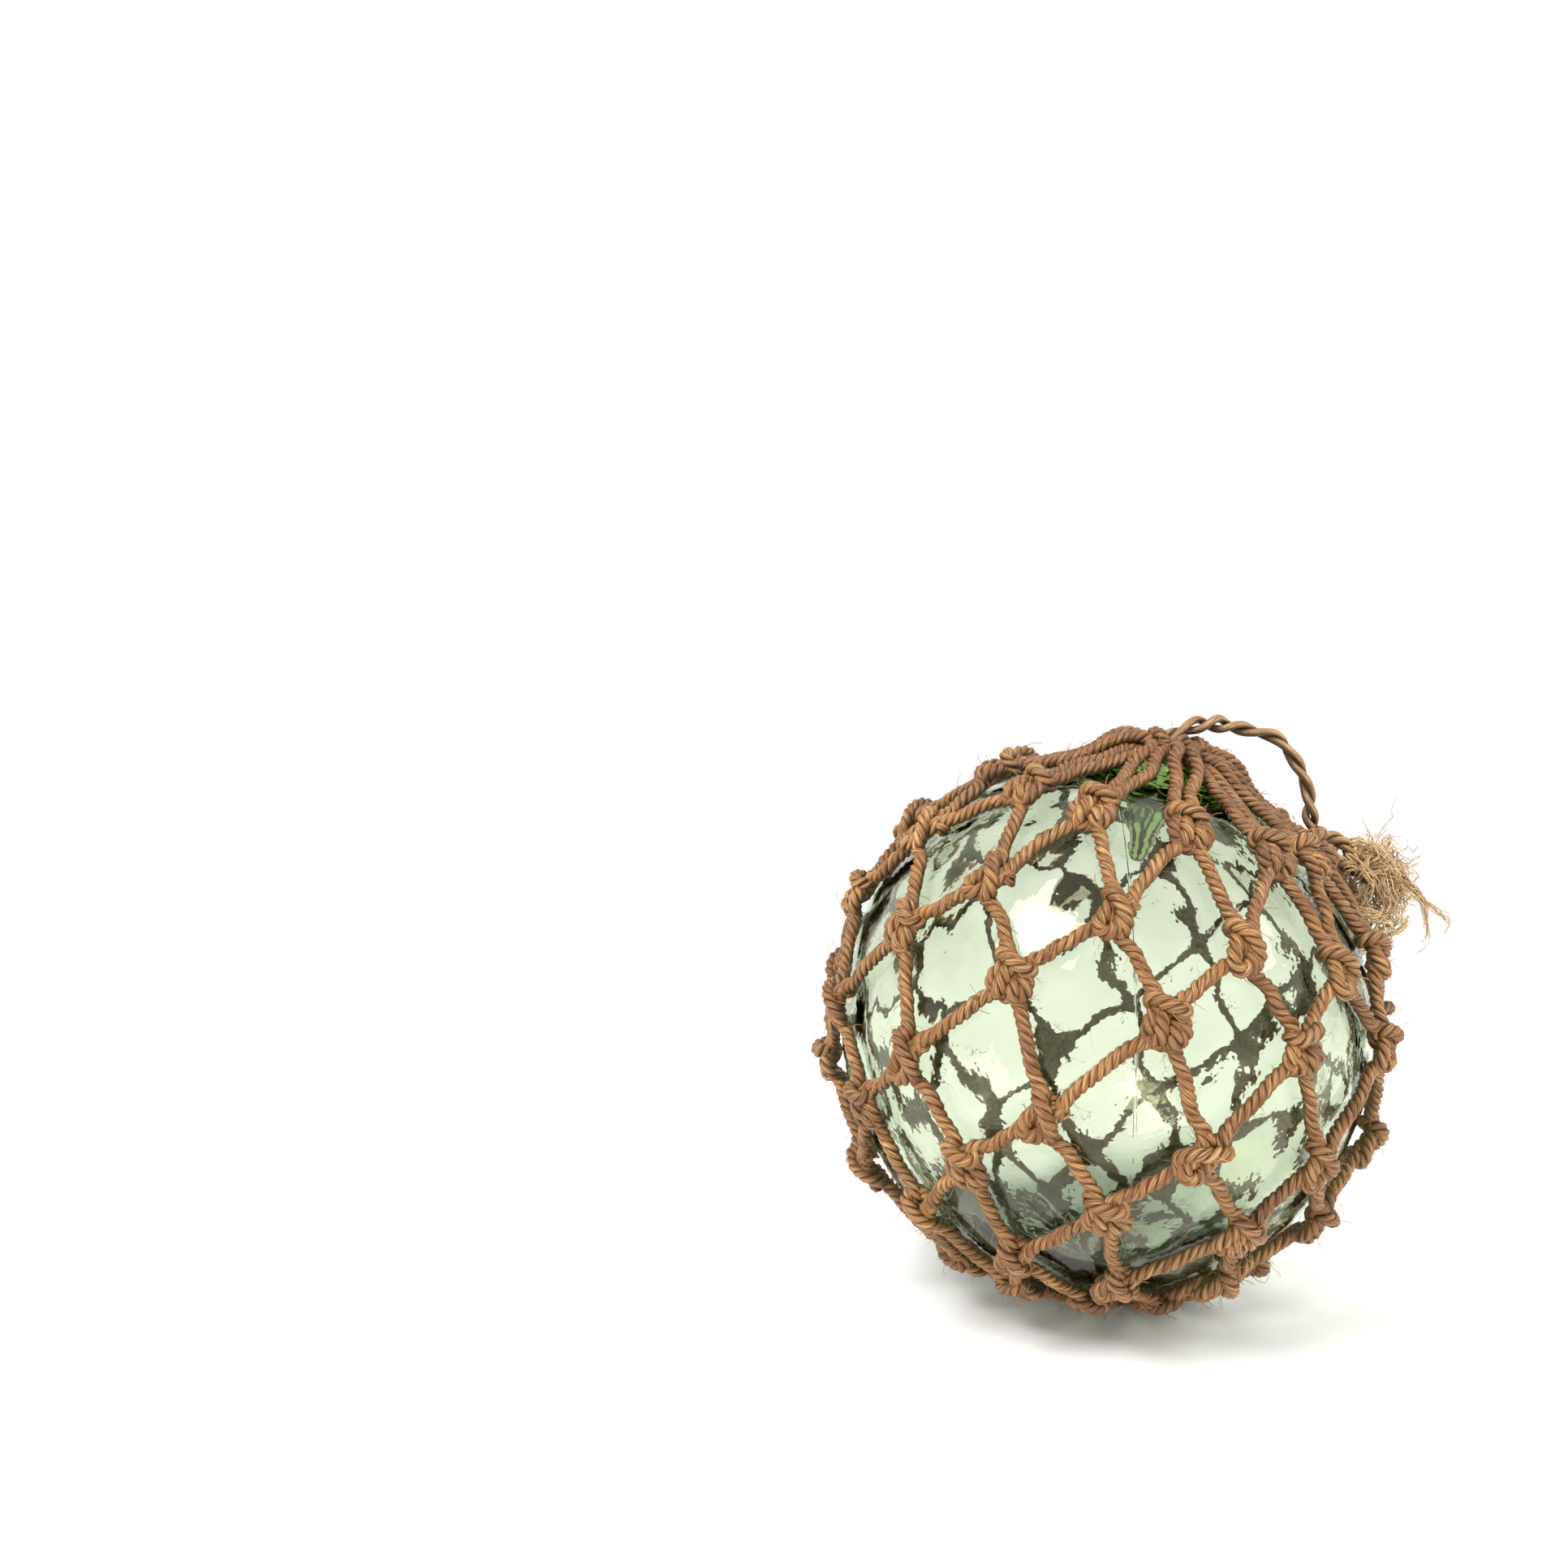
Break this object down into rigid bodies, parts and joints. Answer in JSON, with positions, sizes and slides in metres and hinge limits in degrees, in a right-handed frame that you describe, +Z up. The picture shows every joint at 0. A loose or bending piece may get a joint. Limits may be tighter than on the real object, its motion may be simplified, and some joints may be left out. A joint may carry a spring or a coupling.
{
  "type": "glass fishing float",
  "caption": "Hollow hand-blown green glass fishing float in a hand-knotted rope net, with a thin hanging loop and a frayed rope tail.",
  "frame": {"origin": "on the standing surface, under the middle of the ball and at the middle of the flat foot", "axes": "+Z up; +X to the viewer's right in the picture, the side that the gather leans to and the frayed tail hangs on; +Y away from the viewer"},
  "size_m": [0.3048, 0.2757, 0.2879],
  "materials": {
    "glass": "clear pale green blown glass, smooth with slight ripples",
    "net_rope": "laid natural-fibre rope, warm brown, slightly glossy fibres",
    "loop_cord": "thin two-ply natural-fibre cord, tan",
    "frayed_rope": "frayed natural-fibre rope end, straw coloured"
  },
  "bodies": {
    "root": {"glass_ball": "glass", "rope_net": "net_rope", "hanging_loop": "loop_cord", "frayed_tail": "frayed_rope"}
  },
  "joints": []
}
